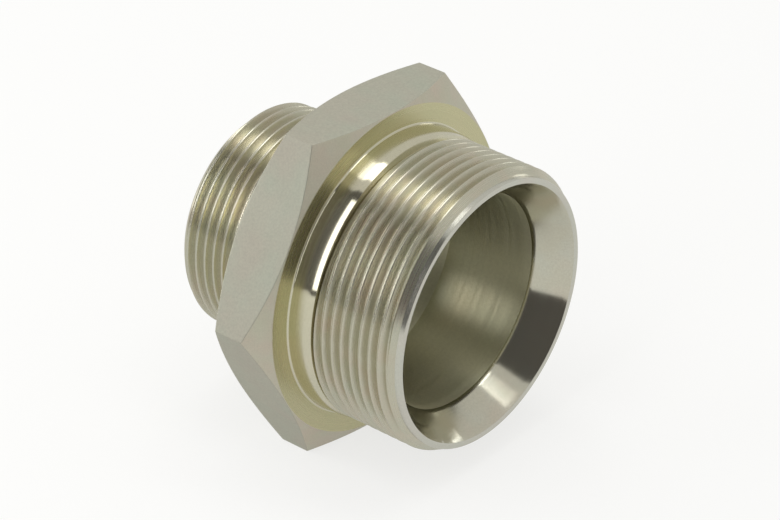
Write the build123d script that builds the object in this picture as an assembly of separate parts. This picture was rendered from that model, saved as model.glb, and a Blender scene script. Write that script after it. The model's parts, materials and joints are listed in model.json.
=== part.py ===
from build123d import *
from math import radians, tan
import os

# Reducing nipple, turned in one piece from hexagon bar.
# A hexagon for the spanner stands between two outside pipe threads of different sizes. The bore goes
# right through, wide at the large end and narrower at the small one, and each mouth is a cone seat.
# The fine threads are left as blanks of the diameter over their crests, each with its relief groove
# and its chamfered start. The piece lies on one flat of the hexagon. +X is the thread axis, out of
# the large end, and +Z is up. The origin is on the surface that it lies on, under the middle of its
# length. Millimetres and degrees.

# Hexagon
hex_across_flats = 70.0
hex_thickness = 13.0
hex_chamfer_angle = 30.0
hex_face_inset = 0.2

# Large end, from the hexagon outwards
large_stud_length = 26.0
large_thread_diameter = 59.614
large_neck_length = 4.5
large_neck_rise = 0.4
large_neck_fillet = 0.9
large_relief_width = 1.5
large_relief_depth = 1.55
large_pilot_length = 1.1
large_pilot_step = 1.6
large_end_chamfer = 45.0
large_rim_width = 1.2

# Small end, from the hexagon outwards
small_stud_length = 22.0
small_thread_diameter = 47.803
small_relief_width = 3.5
small_relief_depth = 1.6
small_end_step = 2.2
small_end_chamfer = 45.0
small_rim_width = 1.0

# Bore
large_bore_diameter = 45.4
large_bore_depth = 28.0
small_bore_diameter = 35.0
shoulder_half_angle = 45.0
seat_half_angle = 30.0

# Places along the axis, from the middle of the length
total_length = small_stud_length + hex_thickness + large_stud_length
small_face = -total_length / 2
hex_back = small_face + small_stud_length
hex_front = hex_back + hex_thickness
large_face = total_length / 2

# Radii that more than one feature uses
hex_face_radius = hex_across_flats / 2 - hex_face_inset
large_thread_radius = large_thread_diameter / 2
large_neck_radius = large_thread_radius + large_neck_rise
large_pilot_radius = large_thread_radius - large_pilot_step
small_thread_radius = small_thread_diameter / 2
small_face_radius = small_thread_radius - small_end_step


def turned(outline):
    """Turn an outline, drawn as x along the axis and y as radius, about the axis."""
    return revolve(outline, axis=Axis.X)


def blank():
    """Everything that is turned on the outside, from the small end to the large one."""
    small_chamfer_length = small_end_step / tan(radians(small_end_chamfer))
    large_chamfer_length = large_pilot_step / tan(radians(large_end_chamfer))
    small_relief_end = hex_back - small_relief_width
    neck_end = hex_front + large_neck_length
    relief_end = neck_end + large_relief_width
    pilot_start = large_face - large_pilot_length
    outline = make_face(Polyline(
        (small_face, 0),
        (small_face, small_face_radius),
        (small_face + small_chamfer_length, small_thread_radius),
        (small_relief_end, small_thread_radius),
        (small_relief_end, small_thread_radius - small_relief_depth),
        (hex_back, small_thread_radius - small_relief_depth),
        (hex_back, hex_face_radius),
        (hex_front, hex_face_radius),
        (hex_front, large_neck_radius),
        (neck_end, large_neck_radius),
        (neck_end, large_thread_radius - large_relief_depth),
        (relief_end, large_thread_radius - large_relief_depth),
        (relief_end, large_thread_radius),
        (pilot_start - large_chamfer_length, large_thread_radius),
        (pilot_start, large_pilot_radius),
        (large_face, large_pilot_radius),
        (large_face, 0),
        close=True,
    ))
    neck_root = outline.vertices().sort_by_distance((hex_front, large_neck_radius))[0]
    return turned(fillet(neck_root, large_neck_fillet))


def hexagon():
    """Hexagon with a flat up and a flat down, its corners turned off to a round face at both ends."""
    corner = hex_across_flats
    drop = (corner - hex_face_radius) * tan(radians(hex_chamfer_angle))
    prism = extrude(RegularPolygon(hex_across_flats / 2, 6, major_radius=False), hex_thickness)
    cones = turned(make_face(Polyline(
        (hex_back, 0),
        (hex_back, hex_face_radius),
        (hex_back + drop, corner),
        (hex_front - drop, corner),
        (hex_front, hex_face_radius),
        (hex_front, 0),
        close=True,
    )))
    return (Plane.YZ * Pos(0, 0, hex_back) * prism) & cones


def bore():
    """Stepped bore with a cone seat in each mouth."""
    large_radius = large_bore_diameter / 2
    small_radius = small_bore_diameter / 2
    large_mouth_radius = large_pilot_radius - large_rim_width
    small_mouth_radius = small_face_radius - small_rim_width
    seat_slope = tan(radians(seat_half_angle))
    shoulder = large_face - large_bore_depth
    return turned(make_face(Polyline(
        (small_face, 0),
        (small_face, small_mouth_radius),
        (small_face + (small_mouth_radius - small_radius) / seat_slope, small_radius),
        (shoulder - (large_radius - small_radius) / tan(radians(shoulder_half_angle)), small_radius),
        (shoulder, large_radius),
        (large_face - (large_mouth_radius - large_radius) / seat_slope, large_radius),
        (large_face, large_mouth_radius),
        (large_face, 0),
        close=True,
    )))


nipple = blank() + hexagon() - bore()

# Set down on the lower flat of the hexagon
nipple = Pos(0, 0, hex_across_flats / 2) * nipple

os.makedirs("parts", exist_ok=True)
export_step(nipple, "parts/nipple.step")
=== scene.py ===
import json
import math

import bmesh
import bpy
import numpy as np
from mathutils import Matrix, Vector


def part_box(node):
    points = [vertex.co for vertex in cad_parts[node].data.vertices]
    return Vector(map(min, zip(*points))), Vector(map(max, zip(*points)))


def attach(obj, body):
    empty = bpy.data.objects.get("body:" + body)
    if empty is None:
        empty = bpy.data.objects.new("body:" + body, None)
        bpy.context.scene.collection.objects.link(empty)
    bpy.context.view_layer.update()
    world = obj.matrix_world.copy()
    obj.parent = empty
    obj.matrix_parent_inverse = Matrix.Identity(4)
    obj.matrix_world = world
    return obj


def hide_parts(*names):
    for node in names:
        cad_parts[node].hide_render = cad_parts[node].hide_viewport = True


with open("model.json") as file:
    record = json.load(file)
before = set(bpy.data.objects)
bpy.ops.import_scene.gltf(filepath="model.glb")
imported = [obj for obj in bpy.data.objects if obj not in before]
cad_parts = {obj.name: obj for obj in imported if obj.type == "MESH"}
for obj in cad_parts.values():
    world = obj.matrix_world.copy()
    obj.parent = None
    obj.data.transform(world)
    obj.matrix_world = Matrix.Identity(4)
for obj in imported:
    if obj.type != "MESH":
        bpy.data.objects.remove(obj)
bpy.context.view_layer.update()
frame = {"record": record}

# The bar
# The fitting is turned from one length of hexagon bar, so every surface below is a band of one skin
# about the thread axis. Lengths are millimetres: x runs along the axis from the middle of the length,
# towards the large end, and r is the distance from the axis.
low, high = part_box("nipple")
small_face = low[0] * 1000
large_face = high[0] * 1000
axis_height = (low[2] + high[2]) / 2
across_flats = (high[2] - low[2]) * 1000
mounts = {mount["name"]: mount for mount in frame["record"]["mounts"]}

# Every band is worked out at the same angles: evenly round the axis, and closer at the hexagon's corners
plain_step = math.radians(1.25)
corner_offsets = [math.radians(step) for step in (-0.4, -0.18, -0.12, -0.06, 0.06, 0.12, 0.18, 0.4)]
turns = [index * plain_step for index in range(round(2 * math.pi / plain_step))]
turns += [corner * math.pi / 3 + offset for corner in range(6) for offset in corner_offsets]
angle = np.array(sorted(turn % (2 * math.pi) for turn in turns))
angle = np.append(angle, angle[0] + 2 * math.pi)

bands = []


def turn(profile, finish):
    """Turn a profile of (x, r) places about the axis. Either may differ from one angle to the next."""
    rows = []
    for x, r in profile:
        x = np.broadcast_to(x, angle.shape)
        r = np.broadcast_to(r, angle.shape)
        rows.append(np.stack([x, r * np.cos(angle), r * np.sin(angle) + axis_height * 1000], axis=-1))
    bands.append((np.array(rows) / 1000, finish))


def between(start, end, count):
    """Places from start to end in equal steps, with both ends."""
    return [tuple(a + (b - a) * step / count for a, b in zip(start, end)) for step in range(count + 1)]


# The plating
# The whole fitting is plated with zinc under a thin yellowish passivation, and its surfaces differ only
# by what cut them: the drawn bar is matt, and the turned surfaces carry rings left by the tool.
def add(tree, kind, inputs=None, **settings):
    """A node with its settings, and with its inputs set to a value or linked to a socket."""
    node = tree.nodes.new(kind)
    for name, value in settings.items():
        setattr(node, name, value)
    for name, value in (inputs or {}).items():
        if isinstance(value, bpy.types.NodeSocket):
            tree.links.new(value, node.inputs[name])
        else:
            node.inputs[name].default_value = value
    return node


def group(name, inputs, outputs):
    """An empty shader node group, with its input and output nodes."""
    tree = bpy.data.node_groups.new(name, "ShaderNodeTree")
    kinds = {"value": "NodeSocketFloat", "color": "NodeSocketColor"}
    for label, kind in inputs.items():
        tree.interface.new_socket(name=label, in_out="INPUT", socket_type=kinds[kind])
    for label, kind in outputs.items():
        tree.interface.new_socket(name=label, in_out="OUTPUT", socket_type=kinds[kind])
    return tree, tree.nodes.new("NodeGroupInput").outputs, tree.nodes.new("NodeGroupOutput").inputs


def math_node(tree, operation, first, second):
    """The result of one sum on two values or sockets."""
    return add(tree, "ShaderNodeMath", {0: first, 1: second}, operation=operation).outputs[0]


# Rings left by the tool: a noise that changes fast along the axis and outwards, and slowly round it
rings, given, result = group(
    "turning rings", {"Spacing": "value", "Drift": "value"}, {"Height": "value", "Streak": "value"}
)
place = add(rings, "ShaderNodeTexCoord").outputs["Object"]
place = add(rings, "ShaderNodeVectorMath", {0: place, 1: (0, 0, -axis_height)}, operation="ADD").outputs[0]
place = add(rings, "ShaderNodeVectorMath", {0: place, "Scale": 1000.0}, operation="SCALE").outputs[0]
parts = add(rings, "ShaderNodeSeparateXYZ", {0: place}).outputs
radial = add(rings, "ShaderNodeCombineXYZ", {1: parts[1], 2: parts[2]}).outputs[0]
radius = add(rings, "ShaderNodeVectorMath", {0: radial}, operation="LENGTH").outputs["Value"]
along = math_node(rings, "DIVIDE", parts[0], given["Spacing"])
outward = math_node(rings, "DIVIDE", radius, given["Spacing"])
side = math_node(rings, "MULTIPLY", parts[1], given["Drift"])
rise = math_node(rings, "MULTIPLY", parts[2], given["Drift"])
spread = add(rings, "ShaderNodeCombineXYZ", {0: along, 1: side, 2: rise}).outputs[0]
fine = add(rings, "ShaderNodeTexNoise", {"Vector": spread, "W": outward, "Scale": 1.0, "Detail": 3.0,
                                         "Roughness": 0.6}, noise_dimensions="4D").outputs[0]
coarse = add(rings, "ShaderNodeTexNoise", {"Vector": spread, "W": outward, "Scale": 0.21, "Detail": 1.0},
             noise_dimensions="4D").outputs[0]
rings.links.new(fine, result["Height"])
rings.links.new(coarse, result["Streak"])

# The passivation: clouds of a warmer and a cooler tint, with a fine grain
clouds, given, result = group(
    "passivation clouds",
    {"Base": "color", "Warm": "color", "Cool": "color", "Size": "value", "Amount": "value", "Grain": "value"},
    {"Color": "color", "Cloud": "value"},
)
place = add(clouds, "ShaderNodeTexCoord").outputs["Object"]
scale = math_node(clouds, "DIVIDE", 1000.0, given["Size"])
place = add(clouds, "ShaderNodeVectorMath", {0: place, "Scale": scale}, operation="SCALE").outputs[0]
shifted = add(clouds, "ShaderNodeVectorMath", {0: place, 1: (7.3, 2.1, 4.9)}, operation="ADD").outputs[0]
warm = add(clouds, "ShaderNodeTexNoise", {"Vector": place, "Scale": 1.0, "Detail": 3.0}).outputs[0]
cool = add(clouds, "ShaderNodeTexNoise", {"Vector": shifted, "Scale": 1.3, "Detail": 3.0}).outputs[0]
grain = add(clouds, "ShaderNodeTexNoise", {"Vector": place, "Scale": 26.0, "Detail": 2.0}).outputs[0]
warm_part = add(clouds, "ShaderNodeMapRange", {0: warm, 1: 0.45, 2: 0.75, 4: given["Amount"]}).outputs[0]
cool_part = add(clouds, "ShaderNodeMapRange", {0: cool, 1: 0.45, 2: 0.75, 4: given["Amount"]}).outputs[0]
tinted = add(clouds, "ShaderNodeMix", {0: warm_part, 6: given["Base"], 7: given["Warm"]},
             data_type="RGBA").outputs[2]
tinted = add(clouds, "ShaderNodeMix", {0: cool_part, 6: tinted, 7: given["Cool"]},
             data_type="RGBA").outputs[2]
centred = math_node(clouds, "SUBTRACT", grain, 0.5)
shade = add(clouds, "ShaderNodeMath", {0: centred, 1: given["Grain"], 2: 1.0},
            operation="MULTIPLY_ADD").outputs[0]
tinted = add(clouds, "ShaderNodeVectorMath", {0: tinted, "Scale": shade}, operation="SCALE").outputs[0]
clouds.links.new(tinted, result["Color"])
clouds.links.new(warm, result["Cloud"])


# How far the rings wander on their way round, and how much the roughness varies to either side
ring_drift = 0.05
rough_spread = 0.1


def finish(name, base, warm, cool, roughness, size=9.0, amount=0.6, grain=0.2, anisotropic=0.0,
           spacing=None, depth=0.0):
    """A metal finish. Spacing and depth are those of the tool's rings, in mm, on a turned surface."""
    material = bpy.data.materials.new(name)
    material.use_nodes = True
    tree = material.node_tree
    shader = tree.nodes["Principled BSDF"]
    shader.inputs["Metallic"].default_value = 1.0
    tint = add(tree, "ShaderNodeGroup", node_tree=clouds)
    for label, value in (("Base", (*base, 1)), ("Warm", (*warm, 1)), ("Cool", (*cool, 1)), ("Size", size),
                         ("Amount", amount), ("Grain", grain)):
        tint.inputs[label].default_value = value
    color = tint.outputs["Color"]
    if spacing:
        marks = add(tree, "ShaderNodeGroup", node_tree=rings)
        marks.inputs["Spacing"].default_value = spacing
        marks.inputs["Drift"].default_value = ring_drift
        bump = add(tree, "ShaderNodeBump", {"Height": marks.outputs["Height"], "Distance": depth / 1000})
        tree.links.new(bump.outputs[0], shader.inputs["Normal"])
        source = marks.outputs["Streak"]
        tangent = add(tree, "ShaderNodeTangent", direction_type="RADIAL", axis="X")
        tree.links.new(tangent.outputs[0], shader.inputs["Tangent"])
        shader.inputs["Anisotropic"].default_value = anisotropic
        shader.inputs["Anisotropic Rotation"].default_value = 0.25
    else:
        source = tint.outputs["Cloud"]
    rough = add(tree, "ShaderNodeMapRange", {0: source, 1: 0.3, 2: 0.7, 3: roughness * (1 - rough_spread),
                                             4: roughness * (1 + rough_spread)}).outputs[0]
    tree.links.new(rough, shader.inputs["Roughness"])
    tree.links.new(color, shader.inputs["Base Color"])
    return material


# The hexagon
# The spanner flats are the drawn skin of the bar, matt and pitted. Both ends are turned flat, and a
# cone takes the corners off, which leaves a bowed edge on every flat.
hex_back = mounts["back_face"]["pos_m"][0] * 1000
hex_front = mounts["front_seal_face"]["pos_m"][0] * 1000
face_inset = 0.2
face_radius = across_flats / 2 - face_inset
chamfer_slope = math.tan(math.radians(30))
corner_round = 0.25
edge_break = 0.1
cone_shares = (0.0, 0.04, 0.35, 0.7, 0.97)
flat_shares = (0.0, 0.01, 0.15, 0.3, 0.5, 0.7, 0.85, 0.99, 1.0)


def hexagon_radius(turned):
    """Distance from the axis to the hexagon at an angle about the axis, with its corners rounded."""
    off_corner = (turned + math.pi / 6) % (math.pi / 3) - math.pi / 6
    flat = across_flats / 2 / np.cos(math.pi / 6 - abs(off_corner))
    middle = (across_flats / 2 - corner_round) / math.cos(math.pi / 6)
    under_root = corner_round ** 2 - (middle * np.sin(off_corner)) ** 2
    rounded = middle * np.cos(off_corner) + np.sqrt(np.maximum(under_root, 0))
    reach = math.atan2(corner_round / 2, middle + corner_round * math.cos(math.pi / 6))
    return np.where(abs(off_corner) < reach, rounded, flat)


flats_finish = finish("drawn bar", (0.55, 0.54, 0.45), (0.60, 0.54, 0.47), (0.51, 0.56, 0.46), 0.6,
                      size=11.0, amount=0.5, grain=0.25)
chamfer_finish = finish("hexagon chamfer", (0.62, 0.59, 0.48), (0.68, 0.58, 0.48), (0.58, 0.59, 0.45), 0.45,
                        size=8.0, amount=0.7, grain=0.2)
turned_finish = finish("turned face", (0.60, 0.57, 0.35), (0.62, 0.56, 0.35), (0.57, 0.56, 0.34), 0.28,
                       anisotropic=0.8, spacing=0.12, depth=0.002)

hex_radius = hexagon_radius(angle)
rise = hex_radius - face_radius

# The broken edge between a cone and a flat narrows where the cone does
gap = np.minimum(edge_break, rise * 0.4)


def cone_side(face, inward):
    """Chamfer from the round face of one end to the hexagon, as rows, the face's edge first."""
    places = []
    for share in cone_shares:
        r = face_radius + (rise - gap) * share
        places.append((face + inward * (r - face_radius) * chamfer_slope, r))
    r = hex_radius - gap
    places.append((face + inward * (r - face_radius) * chamfer_slope, r))
    return places


back_edge = hex_back + rise * chamfer_slope + gap
front_edge = hex_front - rise * chamfer_slope - gap
flat_rows = [(back_edge + (front_edge - back_edge) * share, hex_radius) for share in flat_shares]
back_cone = cone_side(hex_back, 1)
front_cone = cone_side(hex_front, -1)

turn(back_cone, chamfer_finish)
turn([back_cone[-1], flat_rows[0]], flats_finish)
turn(flat_rows, flats_finish)
turn([flat_rows[-1], front_cone[-1]], flats_finish)
turn(front_cone[::-1], chamfer_finish)

# The neck
# In front of the hexagon the bar is turned to a flat face for a washer and a smooth neck that centres
# it. The neck tapers a little and ends in a bevel, and a groove beyond it lets the threading tool out.
large_radius = mounts["large_thread"]["dims"]["r_mm"]
neck_radius = large_radius + 0.4
neck_lean = math.radians(3)
neck_round = 0.42
neck_end = hex_front + 4.2
bevel_end = neck_end + 1.2
bevel_radius = 29.85
relief_start = bevel_end + 0.4
relief_end = hex_front + 6.0
relief_radius = 28.7
neck_finish = finish("smooth neck", (0.68, 0.65, 0.49), (0.70, 0.64, 0.50), (0.66, 0.65, 0.50), 0.15,
                     anisotropic=0.9, spacing=0.10, depth=0.001)

round_start = hex_front + neck_round * (1 - math.sin(neck_lean))
foot_radius = neck_radius + (neck_end - round_start) * math.tan(neck_lean)
round_middle = foot_radius + neck_round * math.cos(neck_lean)
turn(between((hex_front, face_radius), (hex_front, round_middle), 6), turned_finish)
sweep = [(math.pi / 2 - neck_lean) * step / 8 for step in range(9)]
turn([(hex_front + neck_round * (1 - math.cos(bend)), round_middle - neck_round * math.sin(bend))
      for bend in sweep], neck_finish)
turn(between((round_start, foot_radius), (neck_end, neck_radius), 5), neck_finish)
turn(between((neck_end, neck_radius), (bevel_end, bevel_radius), 3), neck_finish)
turn(between((bevel_end, bevel_radius), (relief_start, relief_radius), 3), neck_finish)
turn([(relief_start, relief_radius), (relief_end, relief_radius)], neck_finish)

# The threads
# Both are parallel pipe threads, single-point cut with eleven turns to the inch and right-handed. The
# flanks stand at 55 degrees to each other, and crests and roots are rounded alike.
pitch = 25.4 / 11
thread_depth = 0.640327 * pitch
thread_round = 0.137329 * pitch
flank_angle = 27.5
thread_finish = finish("cut thread", (0.60, 0.58, 0.46), (0.66, 0.57, 0.46), (0.58, 0.59, 0.48), 0.28,
                       size=7.0, anisotropic=0.8, spacing=0.08, depth=0.001)

# One pitch of the thread, as places along the axis and depths below the crest
bends = [math.radians((90 - flank_angle) * step / 2) for step in (-2, -1, 0, 1, 2)]
crest_rows = [(thread_round * math.sin(bend), thread_round * (1 - math.cos(bend))) for bend in bends]
root_rows = [(pitch / 2 + thread_round * math.sin(bend), thread_depth - thread_round * (1 - math.cos(bend)))
             for bend in bends]
flank_middle = tuple((a + b) / 2 for a, b in zip(crest_rows[-1], root_rows[0]))
thread_form = [*crest_rows, flank_middle, *root_rows, (pitch - flank_middle[0], flank_middle[1])]
form_along = np.array([place for place, depth in thread_form])
form_depth = np.array([depth for place, depth in thread_form])


def depth_at(along):
    """Depth of the thread below its crests at a distance along the axis from the middle of a crest."""
    wrapped = (along - form_along[0]) % pitch + form_along[0]
    once_more = np.append(form_along, form_along[0] + pitch)
    return np.interp(wrapped, once_more, np.append(form_depth, form_depth[0]))


def thread(crest_radius, crest_at, crest_angle, start, end, skin):
    """Rows that follow the helix from start to end, cut down to skin, the radius left by the chamfer."""
    lead = crest_at + pitch * (angle - crest_angle) / (2 * math.pi)
    first = math.floor((start - lead.max()) / pitch) - 1
    last = math.ceil((end - lead.min()) / pitch) + 1
    rows = []
    for index in range(first, last):
        for place, depth in thread_form:
            x = lead + index * pitch + place
            inside = np.clip(x, start, end)
            deep = np.where(x == inside, depth, depth_at(inside - lead))
            rows.append((inside, np.minimum(crest_radius - deep, skin(inside))))
    return rows


def edge_of(crest_radius, crest_at, crest_angle, x, skin):
    """Radius of the thread all round at one place along the axis."""
    lead = crest_at + pitch * (angle - crest_angle) / (2 * math.pi)
    return np.minimum(crest_radius - depth_at(x - lead), skin(x))


# The large thread
# The larger of the two outside threads, cut in the solid steel. It starts at the groove by the neck and
# runs out through the chamfer of the large end.
end_chamfer = 1.6
pilot_length = 1.1
pilot_radius = large_radius - end_chamfer
pilot_start = large_face - pilot_length

# A crest crosses this angle, on the near side, at a measured distance behind the large end
crest_angle = math.radians(144)
large_crest_back = 18.12
large_crest = (large_radius, large_face - large_crest_back, crest_angle)


def large_skin(x):
    """Largest radius at a place along the axis: the crests, and then the chamfer."""
    return np.minimum(large_radius, pilot_radius + (pilot_start - x))


land = edge_of(*large_crest, relief_end, large_skin)
turn([(relief_end, relief_radius), (relief_end, land)], thread_finish)
turn(thread(*large_crest, relief_end, pilot_start, large_skin), thread_finish)

# The large mouth
# A plain pilot and a narrow flat end the large stud, and a 60 degree cone inside them is the seat for
# a sealing cone. The seat is the smoothest surface of all.
rim_width = 1.2
mouth_radius = pilot_radius - rim_width
large_bore = mounts["large_bore"]["dims"]["r_mm"]
seat_slope = math.tan(math.radians(30))
seat_end = large_face - (mouth_radius - large_bore) / seat_slope
end_finish = finish("turned end", (0.64, 0.63, 0.55), (0.66, 0.62, 0.55), (0.62, 0.64, 0.56), 0.22,
                    anisotropic=0.6, spacing=0.09, depth=0.003)
seat_finish = finish("cone seat", (0.60, 0.58, 0.47), (0.64, 0.57, 0.47), (0.60, 0.61, 0.52), 0.15,
                     anisotropic=0.8, spacing=0.10, depth=0.0015)

turn(between((pilot_start, pilot_radius), (large_face - edge_break, pilot_radius), 3), end_finish)
turn([(large_face - edge_break, pilot_radius), (large_face, pilot_radius - edge_break)], end_finish)
turn(between((large_face, pilot_radius - edge_break), (large_face, mouth_radius + edge_break), 2), end_finish)
seat_lip = (large_face - edge_break, mouth_radius - edge_break * seat_slope)
turn([(large_face, mouth_radius + edge_break), seat_lip], end_finish)
turn(between(seat_lip, (seat_end, large_bore), 8), seat_finish)

# The bore
# Drilled and bored right through, wide from the large end and narrower from the small one, with a
# sloping shoulder between. It is satin, with faint rings.
large_bore_depth = 28.0
shoulder = large_face - large_bore_depth
small_bore = mounts["small_bore"]["dims"]["r_mm"]
shoulder_end = shoulder - (large_bore - small_bore)
small_radius = mounts["small_thread"]["dims"]["r_mm"]
small_end_chamfer = 2.2
small_rim_width = 1.0
small_face_radius = small_radius - small_end_chamfer
small_mouth = small_face_radius - small_rim_width
small_seat_end = small_face + (small_mouth - small_bore) / seat_slope
bore_finish = finish("bored wall", (0.56, 0.54, 0.38), (0.60, 0.54, 0.36), (0.53, 0.54, 0.38), 0.5,
                     size=14.0, anisotropic=0.9, spacing=0.16, depth=0.003)

turn(between((seat_end, large_bore), (shoulder, large_bore), 8), bore_finish)
turn(between((shoulder, large_bore), (shoulder_end, small_bore), 4), bore_finish)
turn(between((shoulder_end, small_bore), (small_seat_end, small_bore), 6), bore_finish)
small_lip = (small_face + edge_break, small_mouth - edge_break * seat_slope)
turn(between((small_seat_end, small_bore), small_lip, 4), seat_finish)

# The small end
# A narrow flat, a long chamfer and the smaller thread, turned from the same bar. The thread runs out in
# a groove behind the hexagon, which is turned flat there.
small_relief_width = 3.5
small_relief_depth = 1.6
small_relief_end = hex_back - small_relief_width
small_relief_radius = small_radius - small_relief_depth
small_crest_back = 56.20
small_crest = (small_radius, large_face - small_crest_back, crest_angle)


def small_skin(x):
    """Largest radius at a place along the axis: the chamfer, and then the crests."""
    return np.minimum(small_radius, small_face_radius + (x - small_face))


turn([small_lip, (small_face, small_mouth + edge_break)], end_finish)
turn([(small_face, small_mouth + edge_break), (small_face, small_face_radius)], end_finish)
turn(thread(*small_crest, small_face, small_relief_end, small_skin), thread_finish)
small_land = edge_of(*small_crest, small_relief_end, small_skin)
turn([(small_relief_end, small_land), (small_relief_end, small_relief_radius)], thread_finish)
turn(between((small_relief_end, small_relief_radius), (hex_back, small_relief_radius), 3), neck_finish)
turn(between((hex_back, small_relief_radius), (hex_back, face_radius), 8), turned_finish)

# The finished piece
# The fitting is one piece of steel, with nothing joined on. The bands above meet edge to edge, so
# welding them gives one closed skin.
finishes = []
corners = []
faces = []
slots = []
for rows, band_finish in bands:
    if band_finish not in finishes:
        finishes.append(band_finish)
    count, width = rows.shape[:2]
    index = np.arange(count * width).reshape(count, width) + sum(len(block) for block in corners)
    corners.append(rows.reshape(-1, 3))
    quads = np.stack([index[:-1, :-1], index[1:, :-1], index[1:, 1:], index[:-1, 1:]], axis=-1).reshape(-1, 4)
    faces.append(quads)
    slots += [finishes.index(band_finish)] * len(quads)

mesh = bpy.data.meshes.new("turned_nipple")
mesh.from_pydata(np.concatenate(corners).tolist(), [], np.concatenate(faces).tolist())
mesh.polygons.foreach_set("material_index", slots)
skin = bmesh.new()
skin.from_mesh(mesh)
bmesh.ops.remove_doubles(skin, verts=skin.verts, dist=1e-6)
bmesh.ops.recalc_face_normals(skin, faces=skin.faces)
skin.to_mesh(mesh)
skin.free()
for piece_finish in finishes:
    mesh.materials.append(piece_finish)
mesh.shade_smooth()
mesh.set_sharp_from_angle(angle=math.radians(40))

# The stretched gloss follows the tool round the middle of this space, so its middle is on the thread axis
mesh.use_auto_texspace = False
mesh.texspace_location = (0, 0, axis_height)
mesh.texspace_size = (0.05, 0.05, 0.05)

nipple = bpy.data.objects.new("turned_nipple", mesh)
bpy.context.scene.collection.objects.link(nipple)
even = nipple.modifiers.new("even shading", "WEIGHTED_NORMAL")
even.mode = "FACE_AREA"
even.keep_sharp = True
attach(nipple, "root")
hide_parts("nipple")

# The floor
# A wide sheet of white card, which the fitting lies on. The camera sees it as a white page that keeps
# the fitting's shadow.
floor_mesh = bpy.data.meshes.new("floor")
floor_reach = 6.0
floor_corners = [(x * floor_reach, y * floor_reach, 0) for x, y in ((-1, -1), (1, -1), (1, 1), (-1, 1))]
floor_mesh.from_pydata(floor_corners, [], [(0, 1, 2, 3)])
floor = bpy.data.objects.new("floor", floor_mesh)
bpy.context.scene.collection.objects.link(floor)
card = bpy.data.materials.new("white card")
card.use_nodes = True
card_tree = card.node_tree
card_shader = card_tree.nodes["Principled BSDF"]
card_shader.inputs["Base Color"].default_value = (0.9, 0.9, 0.89, 1)
card_shader.inputs["Roughness"].default_value = 0.9
card_shader.inputs["Specular IOR Level"].default_value = 0.0
mirrored_strength = 0.72
glow_share = 0.72
path = add(card_tree, "ShaderNodeLightPath").outputs
glow = add(card_tree, "ShaderNodeMapRange", {0: path["Is Camera Ray"], 3: mirrored_strength, 4: 1.0}).outputs[0]
paper = add(card_tree, "ShaderNodeEmission", {"Color": (1, 1, 0.99, 1), "Strength": glow})
seen = math_node(card_tree, "MAXIMUM", path["Is Camera Ray"], path["Is Glossy Ray"])
seen = math_node(card_tree, "MULTIPLY", seen, glow_share)
blend = add(card_tree, "ShaderNodeMixShader", {0: seen, 1: card_shader.outputs[0], 2: paper.outputs[0]})
card_tree.links.new(blend.outputs[0], card_tree.nodes["Material Output"].inputs["Surface"])
floor_mesh.materials.append(card)

# The light tent
# White cloth all round, with soft lamps above, behind and to the left of the fitting. Its front is open
# to a dark room, and one tall soft lamp stands in the opening.
world = bpy.data.worlds.new("light tent")
world.use_nodes = True
bpy.context.scene.world = world
cloth = world.node_tree.nodes["Background"]
cloth.inputs["Color"].default_value = (0.66, 0.655, 0.64, 1)
paper = add(world.node_tree, "ShaderNodeBackground", {"Color": (1, 1, 1, 1)})
seen = add(world.node_tree, "ShaderNodeLightPath").outputs["Is Camera Ray"]
choice = add(world.node_tree, "ShaderNodeMixShader", {0: seen, 1: cloth.outputs[0], 2: paper.outputs[0]})
world.node_tree.links.new(choice.outputs[0], world.node_tree.nodes["World Output"].inputs["Surface"])

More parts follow.
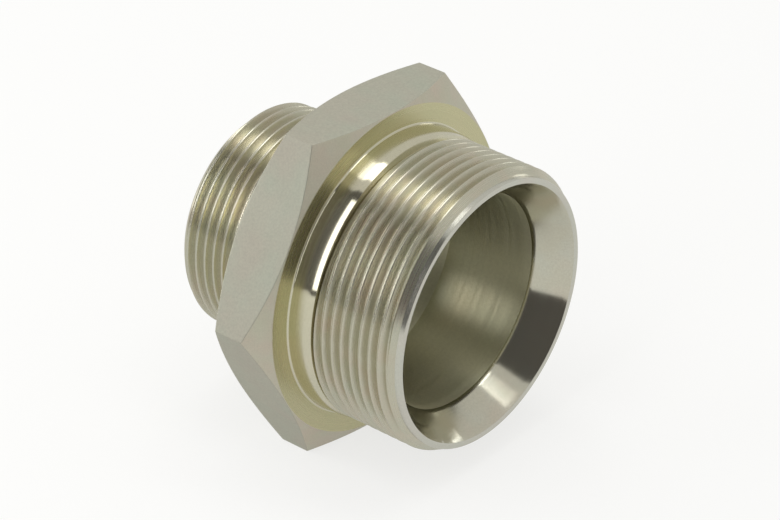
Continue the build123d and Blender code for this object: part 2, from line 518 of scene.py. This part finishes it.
opening_mesh = bpy.data.meshes.new("dark_opening")
opening_corners = [(-6, -2.0, 0), (6, -2.0, 0), (6, -0.5, 2.5), (-6, -0.5, 2.5)]
opening_mesh.from_pydata(opening_corners, [], [(0, 1, 2, 3)])
opening = bpy.data.objects.new("dark_opening", opening_mesh)
bpy.context.scene.collection.objects.link(opening)
dark = bpy.data.materials.new("dark room")
dark.use_nodes = True
dark_shader = dark.node_tree.nodes["Principled BSDF"]
dark_shader.inputs["Base Color"].default_value = (0.02, 0.02, 0.02, 1)
dark_shader.inputs["Roughness"].default_value = 1.0
dark_shader.inputs["Specular IOR Level"].default_value = 0.0
dark_shader.inputs["Emission Color"].default_value = (0.085, 0.082, 0.08, 1)
dark_shader.inputs["Emission Strength"].default_value = 1.0
opening_mesh.materials.append(dark)
opening.visible_camera = False
opening.visible_shadow = False
opening.visible_diffuse = False


def lamp(name, place, size, brightness):
    """A soft rectangular lamp that faces the fitting. Brightness is how white its cloth looks."""
    light = bpy.data.lights.new(name, "AREA")
    light.shape = "RECTANGLE"
    light.size, light.size_y = size
    light.energy = brightness * math.pi * size[0] * size[1]
    holder = bpy.data.objects.new(name, light)
    middle = np.array([0, 0, axis_height])
    back = np.array(place) - middle
    back = back / np.linalg.norm(back)
    across = np.array([1.0, 0.0, 0.0])
    upward = np.cross(back, across)
    upward = upward / np.linalg.norm(upward)
    across = np.cross(upward, back)
    rows = [[across[i], upward[i], back[i], place[i]] for i in range(3)]
    holder.matrix_world = Matrix(rows + [[0, 0, 0, 1]])
    bpy.context.scene.collection.objects.link(holder)


lamp("lamp_above", (-0.05, 0.16, 1.2), (1.1, 0.35), 2.2)
lamp("lamp_behind", (0.0, 1.1, 0.36), (0.28, 0.22), 1.6)
lamp("lamp_in_opening", (0.0, -0.75, 0.6), (0.30, 1.25), 2.4)
lamp("lamp_left", (-0.85, -0.45, 0.30), (0.42, 0.42), 4.5)

# The camera
# It stands in front and to the right of the large end, and looks down at the fitting through a long
# lens, as in the photograph.
camera_place = (0.35111, -0.43260, 0.36623)
camera_look = (-0.53723, 0.67130, -0.51063)
camera_up = (-0.34203, 0.38001, 0.85942)
camera_right = np.cross(camera_look, camera_up)
camera = bpy.data.cameras.new("camera")
camera.sensor_width = 36.0
camera.lens = 149.92
stand = bpy.data.objects.new("camera", camera)
bpy.context.scene.collection.objects.link(stand)
rows = [[camera_right[i], camera_up[i], -camera_look[i], camera_place[i]] for i in range(3)]
stand.matrix_world = Matrix(rows + [[0, 0, 0, 1]])
bpy.context.scene.camera = stand
bpy.context.scene.view_settings.view_transform = "Standard"
